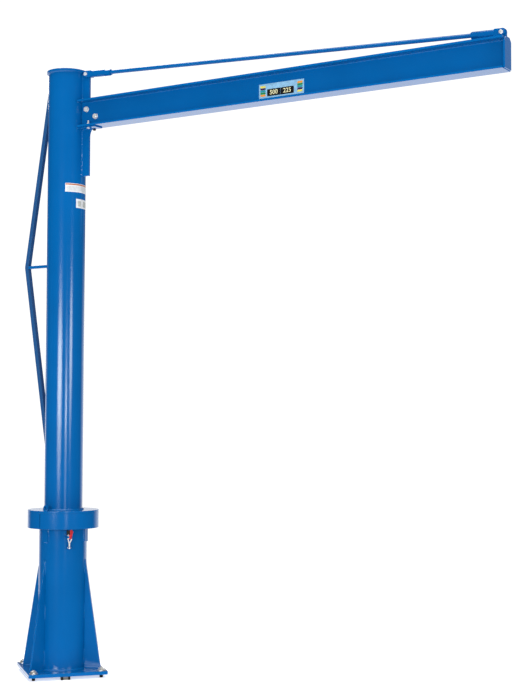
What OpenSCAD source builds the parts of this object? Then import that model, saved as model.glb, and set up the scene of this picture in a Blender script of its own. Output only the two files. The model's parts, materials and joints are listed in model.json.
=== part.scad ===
// Free-standing jib crane: a removable mast that turns in a bolted-down base sleeve,
// with an I-beam boom hung from a tie rod.
// Millimetres. +Z is up and +X runs along the boom. The origin is the middle of the
// base plate's underside, on the axis that the mast turns about.

/* [Base] */
// Thickness of the base plate
plate_t = 19; // [12:0.5:32]
// Distance from a gusset's toe to the plate's side edge
plate_margin = 22.5; // [10:0.5:60]
// Distance of an anchor hole from the plate's edges
anchor_inset = 31.75; // [26:0.25:45]
// Diameter of an anchor hole
anchor_hole_d = 22.2; // [16:0.1:28]
// Turn of the plate's sides from the boom, about the mast axis
base_angle = 50.2; // [0:0.1:90]
// Radial gap between the mast and the sleeve
sleeve_gap = 17.65; // [12:0.05:30]
// Wall of the sleeve pipe
sleeve_wall = 9.3; // [6:0.1:14]
// How far the sleeve ends below the ring's top plate
sleeve_under = 22; // [12:1:40]
// Height of a gusset above the base plate
gusset_rise = 610; // [300:5:660]
// Distance of a gusset's toe from the sleeve
gusset_reach = 99; // [70:1:140]
// Thickness of a gusset
gusset_t = 12.7; // [8:0.1:20]
// Height of a gusset's square toe
gusset_toe = 8; // [4:1:40]
// Width of a gusset's flat top
gusset_nose = 4; // [3:0.5:30]
// Angle of each gusset from the plate's front and back middles
gusset_angle = 58; // [48:1:60]

/* [Guide rollers] */
// Angle of the two front roller brackets from the middle of the plate's front
bracket_angle = 55; // [45:1:62]
// Width of a roller bracket
bracket_w = 43; // [36:1:60]
// Thickness of a roller bracket's back bar
bracket_t = 9; // [6:0.5:20]
// How far a roller bracket hangs below the ring
bracket_drop = 78; // [30:1:84]
// Diameter of a guide roller
roller_d = 42; // [28:0.5:44]
// Length of a guide roller
roller_len = 40; // [24:1:44]
// Diameter of a guide roller's pin
roller_pin_d = 12; // [8:0.5:16]
// Running gap between a guide roller and the ring
roller_gap = 0.3; // [0.2:0.1:1]
// Gap between a guide roller and its bracket's back bar
roller_back = 9; // [2:0.5:12]
// Thickness of a roller bracket's ear
ear_t = 9; // [6:0.5:10]

/* [Pivot] */
// Diameter of the pivot pin under the mast
pivot_d = 60; // [40:1:80]
// How far the pivot pin stands into the mast, above its foot disc
pivot_over = 20; // [5:1:40]
// Diameter of the pivot pin's shoulder bevel
pivot_bevel = 4; // [1:0.5:8]
// Width of the thrust washer around the pivot pin
washer_w = 45; // [30:1:60]
// Thickness of the thrust washer
washer_t = 10; // [6:0.5:14]
// Running gap at the thrust washer
thrust_gap = 0.3; // [0.2:0.1:0.6]
// Running clearance on the radius of the pivot and hinge pins
pivot_clear = 0.05; // [0.02:0.01:0.1]
// Thickness of the mast's foot disc
foot_t = 36; // [25:1:44]

/* [Mast] */
// Outside diameter of the mast pipe
mast_od = 219.1; // [160:0.1:280]
// Wall of the mast pipe
mast_wall = 8.2; // [6:0.1:12]
// Height of the mast's top above the boom's top
head_h = 181.5; // [150:0.5:400]
// How far the cap stands past the mast
cap_lip = 11.1; // [2:0.1:20]
// Thickness of the mast's cap
cap_t = 12; // [8:0.5:16]

/* [Ring] */
// Height of the ring's lower edge above the floor
ring_bottom = 813; // [790:1:1200]
// Height of the ring
ring_h = 102; // [96:1:140]
// Thickness of the ring's band
band_t = 6.4; // [5:0.1:10]
// Thickness of the ring's top plate
ring_plate_t = 12.7; // [8:0.1:16]
// Width of the open seam in the band
seam_w = 4; // [2:0.5:6]
// Direction of the seam about the mast axis
seam_turn = -90; // [-180:1:180]

/* [Tag lug] */
// Distance of the lug from the mast
lug_out = 42.5; // [20:0.5:60]
// Width of the lug
lug_w = 30; // [20:1:36]
// Height of the lug's hole above the ring
lug_hole_h = 15; // [10:1:25]
// Diameter of the lug's hole
lug_hole_d = 11; // [6:0.5:14]
// Thickness of the lug
lug_t = 9.5; // [6:0.5:14]

/* [Rear truss] */
// Side of the square truss bar
truss_bar = 25.4; // [16:0.1:32]
// Distance of the truss apex from the mast
truss_reach = 180.5; // [120:0.5:300]
// Depth of the truss apex below the mast's top
apex_drop = 1128; // [800:1:1400]
// Depth below the mast's top where the upper bar's middle line meets the mast
truss_top_drop = 27; // [20:1:200]
// Height above the ring where the lower bar's middle line meets the mast
truss_foot_up = 297; // [150:1:500]
// Thickness of the strut
strut_t = 17; // [12:0.5:24]

/* [Boom] */
// Depth of the boom's I-beam
beam_h = 158; // [130:0.5:205]
// Width of the boom's flanges
flange_w = 102; // [80:0.5:135]
// Thickness of the boom's flanges
flange_t = 10.3; // [7:0.1:14]
// Thickness of the boom's web
web_t = 6.6; // [5:0.1:10]
// Radius between the boom's web and flanges
root_r = 7; // [3:0.5:10]
// Height of the boom's underside above the floor
beam_bottom = 3112.5; // [2700:0.5:4500]
// Distance from the mast axis to the outer face of the end plate
reach = 2735; // [1500:5:4500]
// Gap between the boom's end and the mast
beam_gap = 3; // [2:0.5:8]
// Thickness of the end plate
end_t = 9.5; // [6:0.1:20]
// How far the end plate is set in from the boom's sides
end_inset = 11; // [0:0.5:20]
// Height of the end plate's lower edge above the boom's underside
end_rise = 2.5; // [0:0.5:12]
// Side of the bevel at the end plate's upper corners
end_corner = 19.5; // [4:0.5:30]

/* [Boom bracket] */
// Thickness of the bracket plate
arm_t = 12.7; // [8:0.1:16]
// Distance of the bracket plate's upper edge from the mast
arm_out = 50.5; // [48:0.5:110]
// How far the bracket's lap reaches past that edge, inside the boom
lap_len = 76; // [60:1:120]
// How far the bracket's shoulder stands past that edge, under the boom
shoulder_out = 17; // [10:1:40]
// Height over which the shoulder sweeps back
shoulder_h = 45; // [40:1:80]
// Length of the bracket plate below the boom
arm_foot = 279; // [150:1:400]
// Width of the seat plate
seat_w = 70; // [60:1:120]
// How far the seat plate reaches past the bracket's shoulder
seat_out = 55; // [20:1:70]
// Thickness of the seat plate
seat_t = 6.5; // [5:0.5:16]
// Diameter of the bolt holes through web and lap
web_hole_d = 20.6; // [14:0.1:24]

/* [Tie rod] */
// Diameter of the tie rod
rod_d = 22; // [12:0.5:24]
// Diameter of the clevis pins
pin_d = 19; // [12:0.5:22]
// Distance of the mast-side pin from the bracket plate's edge
pin_inset = 21; // [16:1:30]
// Depth of the mast-side pin below the mast's top
pin_drop = 25.5; // [16:0.5:60]
// Gap between the outer clevis and the boom's top
eye_lift = 9.5; // [4:0.5:40]
// Radius of the end lug's round top
eye_r = 22; // [14:0.5:24]
// Distance of the end lug from the end plate's outer face
eye_inset = 10.5; // [0:0.5:20]
// Diameter of the mast-side clevis
inner_clevis_d = 38; // [30:1:44]
// Diameter of the outer clevis
outer_clevis_d = 37; // [30:1:44]
// Length of the mast-side clevis from pin to shank end
inner_clevis_len = 133; // [100:1:180]
// Length of the outer clevis from pin to shank end
outer_clevis_len = 121; // [100:1:180]
// Thickness of a clevis fork's cheek
cheek_t = 9; // [6:0.5:14]
// Side gap between a clevis cheek and its lug
cheek_gap = 0.3; // [0.2:0.1:1]
// How far the rod is screwed into a clevis
thread_in = 40; // [25:1:60]
// Width across flats of a lock nut
nut_af = 33.3; // [28:0.1:36]
// Length of a lock nut
nut_len = 40; // [12:1:50]

/* [Swing lock] */
// Depth of the handle's pivot below the ring
lock_drop = 105; // [100:1:120]
// Distance of the handle's pivot from the sleeve
lock_out = 21; // [16:1:30]
// Turn of the lock from the middle of the plate's front
lock_turn = 3; // [-15:1:15]
// Length of the handle from its pivot
handle_len = 99; // [70:1:100]
// Height of the grip's lower end above the handle's pivot
grip_from = 48; // [40:1:60]
// Sideways bend of the grip's top
grip_bend = 10; // [0:1:16]
// Thickness of the handle's plate
lever_t = 6; // [4:0.5:10]
// Diameter of the handle's hinge pin
hinge_d = 8; // [6:0.5:10]
// Gap between the rubber pad and the ring
lock_gap = 5; // [5:0.5:12]
// Diameter of the rubber pad
pad_d = 20; // [10:0.5:22]
// Height of the rubber pad
pad_h = 24; // [12:1:30]
// Diameter of the pad's stem
stem_d = 8; // [6:0.5:10]
// Sideways distance of the pad's stem from the handle
stem_side = 16; // [15:0.5:24]

/* [Hidden] */
$fn = 96;

BLUE = [0.0, 0.37, 0.66];
STEEL = [0.75, 0.76, 0.78];
BRONZE = [0.70, 0.52, 0.28];
BLACK = [0.08, 0.08, 0.09];
RED = [0.85, 0.15, 0.18];

past = 1;                                   // how far a cutter runs past a face
weld_in = 3;                                // how far a plate is drawn into a pipe, then coped

// Base: the sleeve fits round the mast, and the plate carries the gussets' toes
mast_r = mast_od / 2;
sleeve_bore = mast_r + sleeve_gap;
sleeve_r = sleeve_bore + sleeve_wall;
toe_r = sleeve_r + gusset_reach;
plate_half = toe_r * sin(gusset_angle) + plate_margin;
anchor_half = plate_half - anchor_inset;
front_angle = base_angle - 90;
gusset_angles = [
    front_angle + gusset_angle, front_angle - gusset_angle,
    front_angle + gusset_angle + 180, front_angle - gusset_angle + 180
];
bracket_angles = [front_angle + bracket_angle, front_angle - bracket_angle, front_angle + 180];

// Ring: its band runs round the guide rollers, and its top plate is welded to the mast
roller_r = roller_d / 2;
bracket_r = sleeve_r + bracket_t;
roller_axis_r = bracket_r + roller_back + roller_r;
band_inner_r = roller_axis_r + roller_r + roller_gap;
ring_r = band_inner_r + band_t;
ring_top = ring_bottom + ring_h;
band_top = ring_top - ring_plate_t;
sleeve_top = band_top - sleeve_under;

// Roller brackets: a back bar and two ears, which stay clear of the ring
ring_clear = 6;
ear_play = 0.5;
bracket_top = band_top - ring_clear;
bracket_foot = ring_bottom - bracket_drop;
ear_pitch = roller_len + 2 * ear_play + ear_t;
pin_over = 5;                               // how far a roller pin stands past its ears
ear_mid = bracket_top - ring_clear - pin_over - ear_t / 2 - ear_pitch / 2;
ear_reach = band_inner_r - ring_clear;

// Pivot: pin and thrust washer on the base plate, foot disc on the mast
washer_top = plate_t + washer_t;
foot_bottom = washer_top + thrust_gap;
foot_top = foot_bottom + foot_t;
pivot_top = foot_top + pivot_over;

// Boom, and the mast's head above it
beam_top = beam_bottom + beam_h;
beam_mid = beam_bottom + beam_h / 2;
beam_start = mast_r + beam_gap;
end_inner = reach - end_t;
end_half = flange_w / 2 - end_inset;
mast_top = beam_top + head_h;
cap_bottom = mast_top - cap_t;
cap_r = mast_r + cap_lip;

// Bracket: a plate that laps the far side of the boom's web, through slots in its flanges
arm_edge = mast_r + arm_out;
arm_lap = arm_edge + lap_len;
arm_shoulder = arm_edge + shoulder_out;
arm_bottom = beam_bottom - arm_foot;
arm_y = web_t / 2 + arm_t / 2;
slot_gap = 1.5;
lap_gap = 6;
lap_bottom = beam_bottom + flange_t + root_r + lap_gap;
lap_top = beam_top - flange_t - root_r - lap_gap;
seat_bottom = beam_bottom - seat_t;
seat_reach = arm_shoulder + seat_out;
shoulder_r = (shoulder_out * shoulder_out + shoulder_h * shoulder_h) / (2 * shoulder_out);
bolt_inset = 13.5;                          // distance of the upper web bolt inside the plate's edge
bolt_edge = 23;                             // distance of the lower web bolt from the lap's end
bolt_rise = 28;                             // height of the upper web bolt above the boom's middle
bolt_fall = 20;                             // depth of the lower web bolt below it
web_bolts = [
    [arm_edge - bolt_inset, beam_mid + bolt_rise],
    [arm_lap - bolt_edge, beam_mid - bolt_fall]
];

// Rear truss
apex_x = -mast_r - truss_reach;
apex_z = mast_top - apex_drop;
truss_top = mast_top - truss_top_drop;
truss_bottom = ring_top + truss_foot_up;

// Tie rod: straight from pin to pin, in the bracket plate's plane
inner_pin_x = arm_edge - pin_inset;
inner_pin_z = mast_top - pin_drop;
outer_pin_x = reach - eye_r - eye_inset;
outer_pin_z = beam_top + outer_clevis_d / 2 + eye_lift;
pin_run = outer_pin_x - inner_pin_x;
pin_fall = inner_pin_z - outer_pin_z;
rod_len = sqrt(pin_run * pin_run + pin_fall * pin_fall);
rod_tilt = atan2(pin_fall, pin_run);
arm_eye_r = inner_clevis_d / 2 - 2;         // round top of the bracket plate, inside its clevis
fork_half = arm_t / 2 + cheek_gap + cheek_t;
fork_back = 8;                              // gap between a lug and the bottom of its fork
pin_head = 6;                               // how far a clevis pin stands past each cheek

// Swing lock: all round its pivot, which faces out from the sleeve
lock_angle = front_angle + lock_turn;
lock_r = sleeve_r + lock_out;
lock_z = ring_bottom - lock_drop;
lever_w = 8;                                // width of the handle's parts
boss_r = hinge_d / 2 + 3;
lock_cheek = 4;                             // thickness of the lock bracket's cheeks
lock_play = 0.3;                            // side gap between the handle and the cheeks
lock_back = 5;                              // gap behind the handle's boss
hinge_over = 1.5;                           // how far the hinge pin stands past the cheeks
yoke_from = 26;                             // height where the handle's yoke opens
yoke_half = 11;
grip_t = 12;
grip_low_w = 15;
grip_top_w = 21;
pad_r = band_inner_r + band_t / 2;          // the pad lies under the band's lower edge
stem_top = ring_bottom - lock_gap - pad_h;
guide_t = 10;
guide_w = 12;
guide_z = stem_top - 18;
stem_tail = 8;                              // how far the stem stands below its guide

// Places its children around the mast axis
module about_mast(angle) {
    rotate([0, 0, angle]) children();
}

// Stands an outline drawn in (radius, height) up as a plate of thickness t
module upright(t) {
    rotate([90, 0, 0]) linear_extrude(t, center = true) children();
}

// Stands an outline up across the radius, as a plate of thickness t
module upright_across(t) {
    rotate([90, 0, 90]) linear_extrude(t, center = true) children();
}

// A pipe between two heights
module pipe(r_out, r_in, z_low, z_high) {
    translate([0, 0, z_low]) difference() {
        cylinder(r = r_out, h = z_high - z_low);
        translate([0, 0, -past]) cylinder(r = r_in, h = z_high - z_low + 2 * past);
    }
}

// A straight bar between two points of an outline
module bar(from, to, w) {
    run = to - from;
    translate(from) rotate(atan2(run[1], run[0])) translate([0, -w / 2]) square([norm(run), w]);
}

// ---- Base ----

module base_plate() {
    color(BLUE) about_mast(base_angle) difference() {
        translate([-plate_half, -plate_half, 0]) cube([2 * plate_half, 2 * plate_half, plate_t]);
        for (sx = [-1, 1], sy = [-1, 1])
            translate([sx * anchor_half, sy * anchor_half, -past])
                cylinder(d = anchor_hole_d, h = plate_t + 2 * past);
    }
}

module base_sleeve() {
    color(BLUE) pipe(sleeve_r, sleeve_bore, plate_t, sleeve_top);
}

module gusset(angle) {
    gusset_top = plate_t + gusset_rise;
    color(BLUE) about_mast(angle) difference() {
        upright(gusset_t) polygon([
            [sleeve_r - weld_in, plate_t],
            [toe_r, plate_t],
            [toe_r, plate_t + gusset_toe],
            [sleeve_r + gusset_nose, gusset_top],
            [sleeve_r - weld_in, gusset_top]
        ]);
        cylinder(r = sleeve_r, h = sleeve_top);
    }
}

// An ear with a round end about the roller's pin
module roller_ear() {
    end_r = ear_reach - roller_axis_r;
    linear_extrude(ear_t) union() {
        translate([sleeve_r - weld_in, -bracket_w / 2])
            square([roller_axis_r - sleeve_r + weld_in, bracket_w]);
        intersection() {
            translate([roller_axis_r, 0]) circle(r = bracket_w / 2);
            translate([roller_axis_r, -bracket_w / 2]) square([end_r, bracket_w]);
        }
    }
}

module roller_bracket(angle) {
    color(BLUE) about_mast(angle) difference() {
        union() {
            translate([sleeve_r - weld_in, -bracket_w / 2, bracket_foot])
                cube([bracket_t + weld_in, bracket_w, bracket_top - bracket_foot]);
            for (side = [-1, 1])
                translate([0, 0, ear_mid + side * ear_pitch / 2 - ear_t / 2]) roller_ear();
        }
        cylinder(r = sleeve_r, h = bracket_top + past);
        translate([roller_axis_r, 0, bracket_foot])
            cylinder(d = roller_pin_d, h = bracket_top - bracket_foot + past);
    }
}

module guide_rollers() {
    color(STEEL) for (angle = bracket_angles) about_mast(angle) translate([roller_axis_r, 0, 0])
        pipe(roller_r, roller_pin_d / 2 + pivot_clear,
            ear_mid - roller_len / 2, ear_mid + roller_len / 2);
}

module roller_pins() {
    pin_len = ear_pitch + ear_t + 2 * pin_over;
    color(STEEL) for (angle = bracket_angles) about_mast(angle)
        translate([roller_axis_r, 0, ear_mid - pin_len / 2]) cylinder(d = roller_pin_d, h = pin_len);
}

module pivot_pin() {
    color(STEEL) union() {
        translate([0, 0, plate_t]) cylinder(d = pivot_d, h = pivot_top - pivot_bevel - plate_t);
        translate([0, 0, pivot_top - pivot_bevel])
            cylinder(d1 = pivot_d, d2 = pivot_d - 2 * pivot_bevel, h = pivot_bevel);
    }
}

module thrust_washer() {
    color(BRONZE) pipe(pivot_d / 2 + washer_w, pivot_d / 2 + pivot_clear, plate_t, washer_top);
}

// ---- Swing lock ----

// The lock's own frame: x outwards, y sideways, z up from the handle's pivot
module at_lock() {
    about_mast(lock_angle) translate([lock_r, 0, lock_z]) children();
}

// A bore or pin across the lock's handle
module hinge_rod(d, length) {
    rotate([90, 0, 0]) cylinder(d = d, h = length, center = true);
}

module lock_bracket() {
    half = lever_w / 2 + lock_play + lock_cheek;
    color(BLUE) difference() {
        at_lock() difference() {
            upright(2 * half) union() {
                circle(r = boss_r);
                translate([-lock_out - weld_in, -boss_r]) square([lock_out + weld_in, 2 * boss_r]);
            }
            upright(lever_w + 2 * lock_play)
                translate([-boss_r - lock_back, -2 * boss_r]) square([4 * boss_r, 4 * boss_r]);
            hinge_rod(hinge_d, 3 * half);
        }
        cylinder(r = sleeve_r, h = sleeve_top);
    }
}

module lock_pin() {
    length = lever_w + 2 * (lock_play + lock_cheek + hinge_over);
    color(STEEL) at_lock() hinge_rod(hinge_d, length);
}

module lock_guide() {
    out = pad_r - sleeve_r;
    color(BLUE) difference() {
        about_mast(lock_angle) translate([sleeve_r, -stem_side, guide_z]) difference() {
            linear_extrude(guide_t) union() {
                translate([-weld_in, -guide_w / 2]) square([out + weld_in, guide_w]);
                translate([out, 0]) circle(d = guide_w);
            }
            translate([out, 0, -past]) cylinder(d = stem_d, h = guide_t + 2 * past);
        }
        cylinder(r = sleeve_r, h = sleeve_top);
    }
}

// The pad's own frame, under the ring's band
module at_pad(z) {
    about_mast(lock_angle) translate([pad_r, -stem_side, z]) children();
}

module lock_stem() {
    stem_bottom = guide_z - stem_tail;
    color(STEEL) at_pad(stem_bottom) cylinder(d = stem_d, h = stem_top - stem_bottom);
}

module lock_pad() {
    color(BLACK) at_pad(stem_top) cylinder(d = pad_d, h = pad_h);
}

// The handle's outline, seen from outside: boss and stem, opening into a yoke
module lever_outline() {
    translate([-lever_w / 2, 0]) square([lever_w, yoke_from]);
    for (side = [-1, 1])
        bar([0, yoke_from - lever_w / 2], [side * yoke_half + grip_bend / 4, grip_from + 2], lever_w * 0.7);
}

module lock_lever() {
    color(STEEL) at_lock() difference() {
        union() {
            upright_across(lever_t) lever_outline();
            hinge_rod(2 * boss_r, lever_w);
        }
        hinge_rod(hinge_d + 2 * pivot_clear, 2 * lever_w);
    }
}

module lock_grip() {
    top = handle_len - grip_top_w / 2;
    color(RED) at_lock() difference() {
        upright_across(grip_t) union() {
            polygon([
                [grip_bend / 4 - grip_low_w / 2, grip_from],
                [grip_bend / 4 + grip_low_w / 2, grip_from],
                [grip_bend + grip_top_w / 2, top],
                [grip_bend - grip_top_w / 2, top]
            ]);
            translate([grip_bend, top]) circle(d = grip_top_w);
        }
        upright_across(lever_t) lever_outline();
    }
}

// ---- Mast ----

module mast_foot() {
    color(BLUE) pipe(mast_r, pivot_d / 2 + pivot_clear, foot_bottom, foot_top);
}

module mast_tube() {
    color(BLUE) pipe(mast_r, mast_r - mast_wall, foot_top, cap_bottom);
}

module mast_cap() {
    color(BLUE) translate([0, 0, cap_bottom]) cylinder(r = cap_r, h = cap_t);
}

module ring_plate() {
    color(BLUE) pipe(ring_r, mast_r, band_top, ring_top);
}

module ring_band() {
    color(BLUE) difference() {
        pipe(ring_r, band_inner_r, ring_bottom, band_top);
        about_mast(seam_turn) translate([0, -seam_w / 2, ring_bottom - past])
            cube([ring_r + past, seam_w, ring_h]);
    }
}

module tag_lug() {
    color(BLUE) about_mast(seam_turn) translate([mast_r + lug_out, 0, ring_top])
        upright_across(lug_t) difference() {
            union() {
                translate([-lug_w / 2, 0]) square([lug_w, lug_hole_h]);
                translate([0, lug_hole_h]) circle(d = lug_w);
            }
            translate([0, lug_hole_h]) circle(d = lug_hole_d);
        }
}

// One leg of the truss: a square bar from the apex to the mast's back
module truss_leg(z_mast) {
    rise = z_mast - apex_z;
    leg_len = norm([truss_reach, rise]);
    spare = 3 * truss_bar;
    z_low = rise > 0 ? apex_z : z_mast - spare;
    z_high = rise > 0 ? cap_bottom : apex_z;
    color(BLUE) difference() {
        upright(truss_bar) intersection() {
            translate([apex_x, apex_z]) rotate(atan2(rise, truss_reach))
                translate([-spare, -truss_bar / 2]) square([leg_len + 2 * spare, truss_bar]);
            translate([2 * apex_x, z_low]) square([-2 * apex_x, z_high - z_low]);
        }
        cylinder(r = mast_r, h = mast_top);
    }
}

module truss_strut() {
    color(BLUE) difference() {
        translate([apex_x, -truss_bar / 2, apex_z - strut_t / 2])
            cube([truss_reach + mast_r, truss_bar, strut_t]);
        cylinder(r = mast_r, h = mast_top);
        truss_leg(truss_top);
        truss_leg(truss_bottom);
    }
}

// ---- Boom ----

// Bolt holes through the boom's web and the bracket's lap
module web_bolt_holes() {
    for (hole = web_bolts)
        translate([hole[0], 0, hole[1]]) rotate([90, 0, 0])
            cylinder(d = web_hole_d, h = 6 * arm_t, center = true);
}

// The hollow sweep from the bracket's edge out to its shoulder
module shoulder_sweep() {
    translate([0, arm_y, 0]) upright(2 * arm_t) intersection() {
        translate([arm_edge + shoulder_r, seat_bottom - shoulder_h]) circle(r = shoulder_r);
        translate([arm_edge, seat_bottom - shoulder_h - past])
            square([shoulder_out + past, shoulder_h + past]);
    }
}

module boom_bracket() {
    color(BLUE) difference() {
        translate([0, arm_y, 0]) upright(arm_t) union() {
            polygon([
                [mast_r - weld_in, arm_bottom],
                [arm_edge, arm_bottom],
                [arm_edge, seat_bottom - shoulder_h],
                [arm_shoulder, seat_bottom - shoulder_h],
                [arm_shoulder, lap_bottom],
                [arm_lap, lap_bottom],
                [arm_lap, lap_top],
                [arm_edge, lap_top],
                [arm_edge, inner_pin_z],
                [arm_edge - pin_inset + arm_eye_r, inner_pin_z],
                [inner_pin_x, cap_bottom],
                [mast_r - weld_in, cap_bottom]
            ]);
            translate([inner_pin_x, inner_pin_z]) circle(r = arm_eye_r);
        }
        shoulder_sweep();
        cylinder(r = mast_r, h = mast_top);
        web_bolt_holes();
        translate([inner_pin_x, 0, inner_pin_z]) rotate([90, 0, 0])
            cylinder(d = pin_d, h = 4 * arm_t, center = true);
    }
}

module boom_seat() {
    cope = mast_r - sqrt(mast_r * mast_r - seat_w * seat_w / 4) + weld_in;
    color(BLUE) difference() {
        translate([mast_r - cope, -seat_w / 2, seat_bottom])
            cube([seat_reach - mast_r + cope, seat_w, seat_t]);
        cylinder(r = mast_r, h = mast_top);
        translate([0, arm_y - arm_t / 2, seat_bottom - past])
            cube([arm_shoulder, arm_t, seat_t + 2 * past]);
    }
}

// The I-beam's section: web, two flanges and four root fillets
module beam_section() {
    translate([-web_t / 2, 0]) square([web_t, beam_h]);
    for (up = [0, 1])
        translate([-flange_w / 2, up * (beam_h - flange_t)]) square([flange_w, flange_t]);
    for (mx = [0, 1], mz = [0, 1])
        translate([0, beam_h / 2]) mirror([mx, 0]) mirror([0, mz])
            translate([web_t / 2, -beam_h / 2 + flange_t]) difference() {
                square(root_r);
                translate([root_r, root_r]) circle(r = root_r);
            }
}

module boom_beam() {
    slot_y = arm_y - arm_t / 2;
    slot_w = arm_t + slot_gap;
    color(BLUE) difference() {
        translate([beam_start, 0, beam_bottom]) rotate([90, 0, 90])
            linear_extrude(end_inner - beam_start) beam_section();
        translate([0, slot_y, beam_mid]) cube([arm_edge + slot_gap, slot_w, beam_h]);
        translate([0, slot_y, beam_mid - beam_h])
            cube([arm_shoulder + slot_gap, slot_w, beam_h + past]);
        web_bolt_holes();
    }
}

module end_plate() {
    color(BLUE) translate([end_inner, 0, beam_bottom]) rotate([90, 0, 90]) linear_extrude(end_t)
        polygon([
            [-end_half, end_rise],
            [end_half, end_rise],
            [end_half, beam_h - end_corner],
            [end_half - end_corner, beam_h],
            [-end_half + end_corner, beam_h],
            [-end_half, beam_h - end_corner]
        ]);
}

module end_lug() {
    color(BLUE) translate([outer_pin_x, arm_y, 0]) upright(arm_t) difference() {
        union() {
            translate([-eye_r, beam_top]) square([2 * eye_r, outer_pin_z - beam_top]);
            translate([0, outer_pin_z]) circle(r = eye_r);
        }
        translate([0, outer_pin_z]) circle(d = pin_d);
    }
}

// ---- Tie rod ----

// The tie rod's own frame: x along the rod from the mast-side pin, y across
module along_rod() {
    translate([inner_pin_x, arm_y, inner_pin_z]) rotate([0, rod_tilt, 0]) children();
}

module tie_rod() {
    start = inner_clevis_len - thread_in;
    rod_end = rod_len - outer_clevis_len + thread_in;
    color(BLUE) along_rod() translate([start, 0, 0]) rotate([0, 90, 0])
        cylinder(d = rod_d, h = rod_end - start);
}

// A clevis: round body, flattened to two cheeks, bored for the pin and the rod
module clevis(body_d, lug_r, clevis_len) {
    fork_depth = lug_r + fork_back;
    color(BLUE) difference() {
        intersection() {
            rotate([0, 90, 0]) union() {
                cylinder(d = body_d, h = clevis_len);
                translate([-body_d / 2, -fork_half, 0])
                    cube([body_d, 2 * fork_half, fork_depth + body_d / 4]);
                rotate([90, 0, 0]) cylinder(d = body_d, h = 2 * fork_half, center = true);
            }
            translate([-body_d, -fork_half, -body_d])
                cube([clevis_len + body_d, 2 * fork_half, 2 * body_d]);
        }
        translate([-body_d, -arm_t / 2 - cheek_gap, -body_d])
            cube([body_d + fork_depth, arm_t + 2 * cheek_gap, 2 * body_d]);
        rotate([90, 0, 0]) cylinder(d = pin_d, h = 4 * fork_half, center = true);
        translate([clevis_len - thread_in, 0, 0]) rotate([0, 90, 0])
            cylinder(d = rod_d, h = thread_in + past);
    }
}

module clevis_pin() {
    color(STEEL) rotate([90, 0, 0]) cylinder(d = pin_d, h = 2 * (fork_half + pin_head), center = true);
}

module lock_nuts() {
    color(BLUE) along_rod() for (x = [inner_clevis_len, rod_len - outer_clevis_len - nut_len])
        translate([x, 0, 0]) rotate([0, 90, 0]) difference() {
            cylinder(d = nut_af / cos(30), h = nut_len, $fn = 6);
            translate([0, 0, -past]) cylinder(d = rod_d, h = nut_len + 2 * past);
        }
}

base_plate();
base_sleeve();
gusset(gusset_angles[0]);  // gusset_a
gusset(gusset_angles[1]);  // gusset_b
gusset(gusset_angles[2]);  // gusset_c
gusset(gusset_angles[3]);  // gusset_d
roller_bracket(bracket_angles[0]);  // roller_bracket_a
roller_bracket(bracket_angles[1]);  // roller_bracket_b
roller_bracket(bracket_angles[2]);  // roller_bracket_c
guide_rollers();
roller_pins();
pivot_pin();
thrust_washer();
lock_bracket();
lock_pin();
lock_guide();
lock_stem();
lock_pad();
lock_lever();
lock_grip();
mast_foot();
mast_tube();
mast_cap();
ring_plate();
ring_band();
tag_lug();
truss_leg(truss_top);  // truss_upper_bar
truss_leg(truss_bottom);  // truss_lower_bar
truss_strut();
boom_bracket();
boom_seat();
boom_beam();
end_plate();
end_lug();
tie_rod();
along_rod() clevis(inner_clevis_d, arm_eye_r, inner_clevis_len);  // clevis_inner
along_rod() translate([rod_len, 0, 0]) mirror([1, 0, 0])  // clevis_outer
        clevis(outer_clevis_d, eye_r, outer_clevis_len);
along_rod() clevis_pin();  // pin_inner
along_rod() translate([rod_len, 0, 0]) clevis_pin();  // pin_outer
lock_nuts();
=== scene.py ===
"""Looks of the free-standing jib crane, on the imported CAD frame. Metres, +Z up, +X along the boom."""

import json
import math

import bmesh
import bpy
from mathutils import Matrix, Vector


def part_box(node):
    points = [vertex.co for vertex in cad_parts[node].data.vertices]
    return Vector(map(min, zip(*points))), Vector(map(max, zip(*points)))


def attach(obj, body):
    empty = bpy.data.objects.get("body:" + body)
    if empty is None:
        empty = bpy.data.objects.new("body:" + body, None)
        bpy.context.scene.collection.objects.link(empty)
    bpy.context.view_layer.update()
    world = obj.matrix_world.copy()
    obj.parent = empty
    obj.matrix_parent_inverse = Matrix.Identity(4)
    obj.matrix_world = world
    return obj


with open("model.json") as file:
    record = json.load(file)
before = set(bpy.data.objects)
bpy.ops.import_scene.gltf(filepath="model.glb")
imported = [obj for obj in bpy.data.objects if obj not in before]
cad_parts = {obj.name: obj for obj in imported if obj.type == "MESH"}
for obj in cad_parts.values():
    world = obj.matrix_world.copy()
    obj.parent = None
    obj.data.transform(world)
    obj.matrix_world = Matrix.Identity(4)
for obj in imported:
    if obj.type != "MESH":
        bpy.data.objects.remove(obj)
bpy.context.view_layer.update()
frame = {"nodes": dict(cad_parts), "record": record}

MM = 0.001
X = Vector((1, 0, 0))
Y = Vector((0, 1, 0))
Z = Vector((0, 0, 1))
NODES = frame["nodes"]


def around(angle, radius=1.0, z=0.0):
    """A point at an angle about the mast's axis."""
    return Vector((radius * math.cos(angle), radius * math.sin(angle), z))


def sides_of(angle):
    """The two directions square to an angle, one to each side."""
    return around(angle + math.pi / 2), around(angle + math.pi / 2) * -1


def facing(place, axis, sideways=None):
    """The frame at a place whose z axis points along axis."""
    axis = axis.normalized()
    side = sideways or (X if abs(axis.dot(X)) < 0.9 else Y)
    across = (side - axis * side.dot(axis)).normalized()
    turn = Matrix((across, axis.cross(across), axis)).transposed()
    return Matrix.Translation(place) @ turn.to_4x4()


def raised(place, height):
    """A frame moved along its own z axis."""
    return place @ Matrix.Translation(Z * height)


# ---- Sizes that no box of the frame gives ----

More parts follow.
